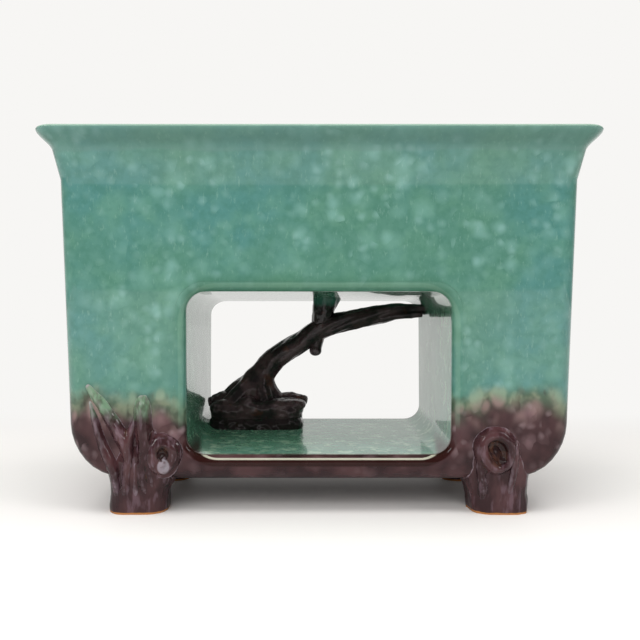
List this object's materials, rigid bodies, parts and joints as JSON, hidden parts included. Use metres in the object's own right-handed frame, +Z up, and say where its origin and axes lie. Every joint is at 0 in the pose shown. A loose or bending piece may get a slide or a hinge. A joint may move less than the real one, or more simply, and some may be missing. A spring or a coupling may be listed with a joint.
{
  "type": "bonsai pot",
  "caption": "Tall rectangular glazed bonsai pot with a flared rim, stump feet and a rounded window through it that holds a ceramic branch.",
  "frame": {"origin": "on the ground under the middle of the pot", "axes": "+X along the pot, -Y towards the front face, +Z up"},
  "size_m": [0.346, 0.159, 0.238],
  "materials": {
    "pot_glaze": "gloss jade glaze over aubergine",
    "relief_glaze": "gloss aubergine glaze broken to amber on its edges",
    "branch_glaze": "dark satin glaze"
  },
  "bodies": {
    "root": {"pot_shell": "pot_glaze", "window_tunnel": "pot_glaze", "foot_front_left": "relief_glaze", "foot_front_right": "relief_glaze", "foot_back_left": "relief_glaze", "foot_back_right": "relief_glaze", "outer_twig_front": "relief_glaze", "inner_twig_front": "relief_glaze", "finger_stub_front": "relief_glaze", "round_knot_front": "relief_glaze", "hollow_knot_front": "relief_glaze", "bark_ridge_front": "relief_glaze", "outer_twig_back": "relief_glaze", "inner_twig_back": "relief_glaze", "finger_stub_back": "relief_glaze", "round_knot_back": "relief_glaze", "hollow_knot_back": "relief_glaze", "bark_ridge_back": "relief_glaze", "branch_base": "branch_glaze", "branch_limb": "branch_glaze", "branch_knob": "branch_glaze", "branch_stub": "branch_glaze"}
  },
  "joints": []
}
